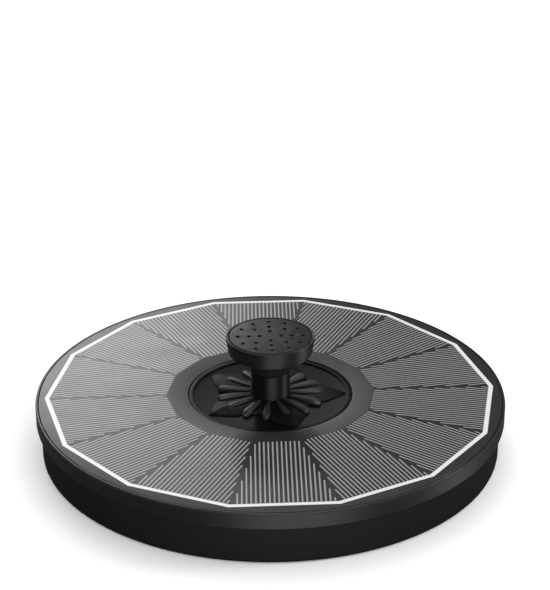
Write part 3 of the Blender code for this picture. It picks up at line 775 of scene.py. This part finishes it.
# name, place, target, size, watts
LIGHTS = (
    ("back_left", (-0.385, 1.546, 0.723), (0, 0, 0), (0.87, 0.26), 4.8),
    ("overhead", (0, 0.75, 1.25), (0, 0, 0), (1.0, 0.6), 3.0),
    ("front_strip", (0.17, -1.2, 0.14), (0, 0, 0.02), (1.1, 0.24), 9),
    ("right_strip", (1.25, -0.05, 0.5), (0, 0, 0), (0.3, 0.5), 6.5),
)


def build_camera():
    data = bpy.data.cameras.new("camera")
    data.lens = CAMERA_LENS
    data.sensor_width = SENSOR_WIDTH
    data.clip_start = CLIP_START
    camera = bpy.data.objects.new("camera", data)
    bpy.context.scene.collection.objects.link(camera)
    azimuth = math.radians(CAMERA_AZIMUTH)
    elevation = math.radians(CAMERA_ELEVATION)
    level = math.cos(elevation)
    away = Vector((math.sin(azimuth) * level, -math.cos(azimuth) * level, math.sin(elevation)))
    camera.location = Vector((0, 0, TOP_Z * MM)) + away * CAMERA_DISTANCE
    pitch = math.radians(90 - CAMERA_ELEVATION + AIM_PITCH)
    camera.rotation_euler = Euler((pitch, 0, azimuth + math.radians(AIM_YAW)))
    bpy.context.scene.camera = camera


def area_light(name, place, target, size, power):
    data = bpy.data.lights.new(name, "AREA")
    data.shape = "RECTANGLE"
    data.size, data.size_y = size
    data.energy = power
    light = bpy.data.objects.new(name, data)
    bpy.context.scene.collection.objects.link(light)
    light.location = place
    light.rotation_euler = (Vector(target) - Vector(place)).to_track_quat("-Z", "Y").to_euler()


def grey(value):
    return value, value, value, 1


def glossy_flag(nodes):
    """1 for a ray off a shiny surface, which then sees the stage as a studio's black flags."""
    return nodes.new("ShaderNodeLightPath").outputs["Is Glossy Ray"]


def build_floor():
    shape = bmesh.new()
    bmesh.ops.create_grid(shape, x_segments=1, y_segments=1, size=FLOOR_SIZE)
    floor = bpy.data.objects.new("floor", finish_mesh("floor", shape))
    bpy.context.scene.collection.objects.link(floor)
    floor.location.z = -FLOOR_DROP
    material, nodes, links, shader = new_material("floor_white")
    coords = nodes.new("ShaderNodeTexCoord").outputs["Object"]
    mix = nodes.new("ShaderNodeMix")
    mix.data_type = "RGBA"
    mix.inputs["A"].default_value = grey(FLOOR_TONES[0])
    mix.inputs["B"].default_value = grey(FLOOR_TONES[1])
    links.new(noise(nodes, links, coords, 3, 2), mix.inputs["Factor"])
    flag = nodes.new("ShaderNodeMix")
    flag.data_type = "RGBA"
    flag.inputs["B"].default_value = grey(FLOOR_GLOSS)
    links.new(glossy_flag(nodes), flag.inputs["Factor"])
    links.new(mix.outputs["Result"], flag.inputs["A"])
    links.new(flag.outputs["Result"], shader.inputs["Base Color"])
    shader.inputs["Roughness"].default_value = 0.9
    shader.inputs["Specular IOR Level"].default_value = 0.1
    floor.data.materials.append(material)


def build_lights():
    for light in LIGHTS:
        area_light(*light)


def build_world():
    """A pale studio: white backdrop and fill, and dark walls for what shines."""
    world = bpy.data.worlds.new("studio")
    world.use_nodes = True
    nodes, links = world.node_tree.nodes, world.node_tree.links
    fill = nodes["Background"]
    fill.inputs["Color"].default_value = (1, 1, 1, 1)
    strength = nodes.new("ShaderNodeMapRange")
    strength.inputs["To Min"].default_value = WORLD_FILL
    strength.inputs["To Max"].default_value = WORLD_GLOSS
    links.new(glossy_flag(nodes), strength.inputs["Value"])
    links.new(strength.outputs["Result"], fill.inputs["Strength"])
    bpy.context.scene.world = world
    bpy.context.scene.view_settings.view_transform = "Standard"


dress_cad_nodes()
build_lid()
build_tub()
build_panel()
build_cover()
build_riser()
build_nozzle()
build_camera()
build_floor()
build_world()
build_lights()
